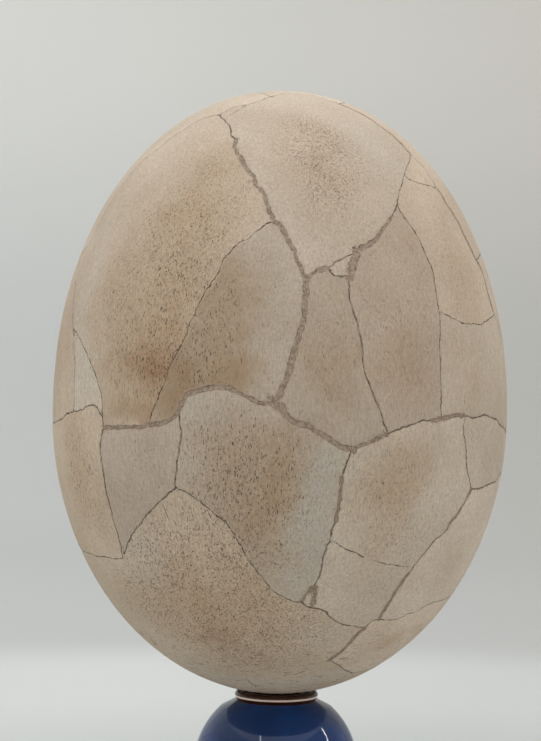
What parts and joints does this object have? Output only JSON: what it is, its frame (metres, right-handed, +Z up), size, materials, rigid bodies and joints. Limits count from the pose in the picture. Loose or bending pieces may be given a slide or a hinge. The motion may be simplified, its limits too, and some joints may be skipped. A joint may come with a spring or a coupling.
{
  "type": "elephant bird egg on a small stand",
  "caption": "Large egg pieced together from shell fragments, resting upright in the rounded lip of a small glazed stand with a flat foot ring.",
  "frame": {"origin": "middle of the stand's foot ring, on the surface that it stands on", "axes": "+Z up along the egg's long axis, towards the egg's upper end; -Y towards the side seen in the picture, +X to its right"},
  "size_m": [0.2254, 0.2248, 0.3684],
  "materials": {
    "eggshell": "matt old eggshell with brown stains, fine dark pores and rough grey-brown filler in the seams",
    "blue_glaze": "glossy cobalt glaze, thin and cream-coloured at the lip, with a bare foot ring"
  },
  "bodies": {
    "root": {"egg": "eggshell", "stand": "blue_glaze"}
  },
  "joints": []
}
